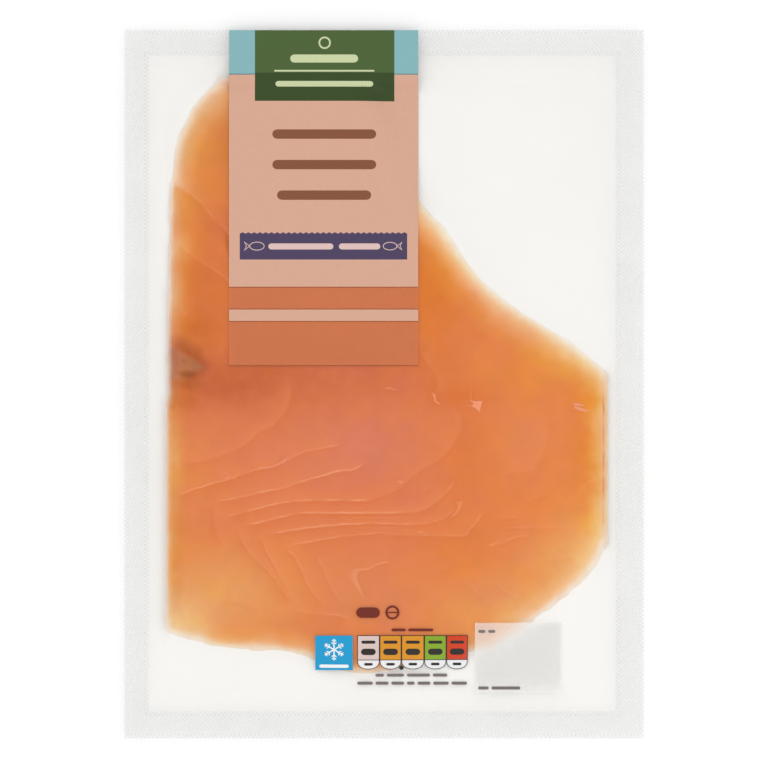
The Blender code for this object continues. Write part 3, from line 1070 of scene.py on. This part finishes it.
def ink(name, shapes, colour, layer=0, alpha=1.0):
    """A sheet of ink lying on the upper film, in the given shapes."""
    mesh = bmesh.new()
    for shape in shapes:
        mesh.faces.new([mesh.verts.new((px, py, 0.0)) for px, py in shape])
    bmesh.ops.recalc_face_normals(mesh, faces=mesh.faces[:])
    for face in mesh.faces:
        if face.normal.z < 0:
            face.normal_flip()
    bmesh.ops.triangulate(mesh, faces=[f for f in mesh.faces if len(f.verts) > 4])
    # Cut along the film's grid lines, so that the ink bends where the film does.
    for axis, lines in enumerate((COVER_X, COVER_Y)):
        spots = spots_of(mesh)[:, axis]
        normal = Vector((1.0 - axis, float(axis), 0.0))
        for place in lines[(lines > spots.min()) & (lines < spots.max())]:
            everything = mesh.verts[:] + mesh.edges[:] + mesh.faces[:]
            bmesh.ops.bisect_plane(
                mesh, geom=everything, plane_co=normal * place, plane_no=normal, dist=TOUCHING
            )
    for vert, height in zip(mesh.verts, on_film(*spots_of(mesh).T)):
        vert.co.z = height + INK_GAP + layer * INK_STEP
    data = bpy.data.meshes.new(name)
    mesh.to_mesh(data)
    mesh.free()
    data.shade_smooth()
    piece = add_piece(name, data, ink_material(name, colour, alpha))
    piece.visible_shadow = False


# ------ the print
LABEL_LEFT, LABEL_RIGHT = -0.0462, 0.0102
LABEL_TOP = HEAD - 0.0002
PANEL_LEFT, PANEL_RIGHT = -0.0385, 0.0031
PANEL_FOOT = 0.0844
PANEL_SPLIT = 0.0929
TURQUOISE_FOOT = 0.0923
PEACH_FOOT = 0.0290
STRIPE_TOP, STRIPE_FOOT = 0.0222, 0.0188
LABEL_FOOT = 0.0054
BAND_LEFT, BAND_RIGHT = -0.0430, 0.0069
BAND_TOP, BAND_FOOT = 0.0448, 0.0371
ZIGZAG_PITCH, ZIGZAG_HEIGHT = 0.0017, 0.00045
HAIR = 0.00028


def zigzag_band():
    """An oblong whose top edge is cut in a fine zigzag."""
    teeth = round((BAND_RIGHT - BAND_LEFT) / ZIGZAG_PITCH)
    feet = np.linspace(BAND_LEFT, BAND_RIGHT, teeth + 1)
    tip = BAND_TOP + ZIGZAG_HEIGHT
    return [oblong(BAND_LEFT, BAND_RIGHT, BAND_FOOT, BAND_TOP)] + [
        [(a, BAND_TOP), (b, BAND_TOP), ((a + b) / 2, tip)] for a, b in zip(feet[:-1], feet[1:])
    ]


def across_label(foot, top):
    return oblong(LABEL_LEFT, LABEL_RIGHT, foot, top)


def beside_panel(foot, top):
    """The label's two parts on either side of its head panel."""
    return [
        oblong(LABEL_LEFT, PANEL_LEFT, foot, top), oblong(PANEL_RIGHT, LABEL_RIGHT, foot, top),
    ]


def label():
    """The printed strip down the pack's upper left part."""
    ink("label_turquoise", beside_panel(TURQUOISE_FOOT, LABEL_TOP), TURQUOISE)
    ink("label_panel", [oblong(PANEL_LEFT, PANEL_RIGHT, PANEL_SPLIT, LABEL_TOP)], GREEN)
    ink("label_panel_foot", [oblong(PANEL_LEFT, PANEL_RIGHT, PANEL_FOOT, PANEL_SPLIT)], DEEP_GREEN)
    ink("label_peach", [
        *beside_panel(PANEL_FOOT, TURQUOISE_FOOT),
        across_label(PEACH_FOOT, PANEL_FOOT),
        across_label(STRIPE_FOOT, STRIPE_TOP),
    ], PEACH)
    clear_bands = [across_label(STRIPE_TOP, PEACH_FOOT), across_label(LABEL_FOOT, STRIPE_FOOT)]
    ink("label_clear_bands", clear_bands, SALMON_INK, alpha=0.70)
    feet = (PEACH_FOOT - HAIR, STRIPE_TOP, STRIPE_FOOT - HAIR, LABEL_FOOT)
    borders = [across_label(foot, foot + HAIR) for foot in feet]
    ink("label_borders", borders, BORDER_BROWN, layer=1, alpha=0.55)
    border = beside_panel(TURQUOISE_FOOT, TURQUOISE_FOOT + HAIR)
    ink("turquoise_border", border, DEEP_TEAL, layer=1, alpha=0.6)
    ink("panel_marks", [
        bar(-0.0280, -0.0077, 0.0959, 0.0983),
        oblong(-0.0327, -0.0029, 0.0932, 0.0937),
        bar(-0.0324, -0.0032, 0.0887, 0.0904),
        *ring(((PANEL_LEFT + PANEL_RIGHT) / 2, 0.1018), 0.0016, 0.0005),
    ], PALE_GREEN, layer=1)
    ink("title_bars", [
        bar(-0.0333, -0.0023, 0.0731, 0.0759),
        bar(-0.0333, -0.0023, 0.0640, 0.0668),
        bar(-0.0319, -0.0038, 0.0549, 0.0577),
    ], BROWN, layer=1)
    ink("navy_band", zigzag_band(), NAVY, layer=1)
    ink("band_marks", [
        *words(-0.0345, -0.0011, 0.0401, 0.0419, (11, 7)),
        *fish_mark((-0.0387, 0.0411), 0.0060, 1),
        *fish_mark((0.0026, 0.0411), 0.0057, -1),
    ], PALE_PINK, layer=2)


TAB_EDGES = (-0.0080, -0.0013, 0.0052, 0.0120, 0.0186, 0.0250)
TAB_TOP, TAB_LINE, TAB_FOOT = -0.0750, -0.0823, -0.0851
TAB_COLOURS = (CLEAR_PINK, AMBER, AMBER, GRASS, RED)
TAB_BORDER = 0.00022
# The bars in a tab: half-width, foot and top of each.
TAB_BARS = ((0.0021, -0.0774, -0.0765), (0.0022, -0.0808, -0.0789), (0.0013, -0.0840, -0.0832))


def half_round(left, right, top, foot, sides=14):
    """The lower part of a tab: level on top and round below."""
    middle, half = (left + right) / 2, (right - left) / 2
    angles = [math.pi * i / sides for i in range(sides + 1)]
    return [
        (middle - half * math.cos(a), top - (top - foot) * math.sin(a) ** 0.7) for a in angles
    ]


def tabs():
    """Five coloured tabs with round ends, outlined, with bars in place of their figures."""
    ends, outlines, figures = [], [], []
    for i, colour in enumerate(TAB_COLOURS):
        left, right = TAB_EDGES[i] + TAB_BORDER / 2, TAB_EDGES[i + 1] - TAB_BORDER / 2
        alpha = 0.75 if i == 0 else 0.95
        ink(f"tab_{i + 1}", [oblong(left, right, TAB_LINE, TAB_TOP)], colour, alpha=alpha)
        ends.append(half_round(left, right, TAB_LINE, TAB_FOOT))
        sides = [(left, TAB_LINE), (left, TAB_TOP), (right, TAB_TOP), (right, TAB_LINE)]
        for line in (sides, [sides[0], sides[-1]], ends[-1]):
            outlines += stroke(line, TAB_BORDER)
        middle = (left + right) / 2
        for half, foot, top in TAB_BARS:
            figures.append(bar(middle - half, middle + half, foot, top))
    ink("tab_ends", ends, WHITE, alpha=0.9)
    x = TAB_EDGES[2]
    outlines.append([(x, -0.0855), (x + 0.0009, -0.0847), (x, -0.0838), (x - 0.0009, -0.0847)])
    ink("tab_outlines", outlines, CHARCOAL, layer=1)
    ink("tab_figures", figures, CHARCOAL, layer=1)


def foot_print():
    """The small print near the foot of the pack."""
    ink("quantity_marks", [
        bar(-0.0083, -0.0012, -0.0697, -0.0666),
        *ring((0.0025, -0.0681), 0.0018, 0.0006),
        oblong(0.0010, 0.0040, -0.0683, -0.0679),
    ], DARK_BROWN)
    ink("quantity_note", words(0.0022, 0.0147, -0.0737, -0.0729, (4, 7)), DARK_BROWN)
    ink("chill_square", [oblong(-0.0205, -0.0093, -0.0854, -0.0750)], BLUE)
    ink("snow_crystal", [
        *snow_crystal(np.array([-0.0149, -0.0792]), 0.0032),
        bar(-0.0193, -0.0105, -0.0847, -0.0837),
    ], WHITE, layer=1)
    tabs()
    ink("small_print", [
        *words(-0.0026, 0.0189, -0.0874, -0.0865, (3, 6, 8, 5)),
        *words(-0.0080, 0.0248, -0.0898, -0.0889, (6, 5, 5, 3, 5, 6, 6)),
    ], TEXT_GREY)
    ink("date_panel", [oblong(0.0271, 0.0530, -0.0922, -0.0712)], PANEL_GREY, alpha=0.45)
    ink("date_marks", [
        *words(0.0281, 0.0332, -0.0742, -0.0733, (3, 3)),
        *words(0.0281, 0.0407, -0.0912, -0.0903, (4, 11)),
    ], TEXT_GREY, layer=1)


# ------ stage, light and camera
def stage():
    """A plain pale floor, a hair below the pack so that it casts no dark line round it."""
    data = bpy.data.meshes.new("floor")
    side = STAGE_HALF
    corners = [(-side, -side, 0.0), (side, -side, 0.0), (side, side, 0.0), (-side, side, 0.0)]
    data.from_pydata(corners, [], [(0, 1, 2, 3)])
    net = Shading("floor")
    colour = net.blend(net.noise(40.0), (0.90, 0.90, 0.90), (0.93, 0.93, 0.93))
    data.materials.append(net.principled({"Base Color": colour, "Roughness": 0.9}))
    floor = new_object("floor", data)
    floor.location.z = LOW[2] - STAGE_GAP


def lights():
    """A white sky and a softbox from each end of the pack."""
    world = bpy.data.worlds.new("studio")
    bpy.context.scene.world = world
    world.use_nodes = True
    sky = world.node_tree.nodes["Background"]
    sky.inputs["Color"].default_value = (1.0, 1.0, 1.0, 1.0)
    sky.inputs["Strength"].default_value = SKY_STRENGTH
    for name, side, energy in (("head", -1.0, HEAD_WATTS), ("foot", 1.0, FOOT_WATTS)):
        lamp = bpy.data.lights.new("softbox_" + name, "AREA")
        lamp.shape = "SQUARE"
        lamp.size = SOFTBOX_SIZE
        lamp.energy = energy
        softbox = new_object("softbox_" + name, lamp)
        softbox.location = (side * SOFTBOX_X, -side * SOFTBOX_Y, SOFTBOX_Z)
        softbox.rotation_euler = (-softbox.location).to_track_quat("-Z", "Y").to_euler()


def camera():
    """Straight down on the pack, from far enough to show no slant."""
    data = bpy.data.cameras.new("camera")
    data.lens = LENS
    data.sensor_width = SENSOR
    eye = new_object("camera", data)
    eye.location = (0.0, 0.0, CAMERA_HEIGHT)
    bpy.context.scene.camera = eye


bpy.context.scene.view_settings.view_transform = "Standard"
camera()
lights()
stage()
seal_band()
film_pouch()
flesh = flesh_material()
lower_slice(flesh)
upper_slice(flesh)
flakes(flesh)
label()
foot_print()
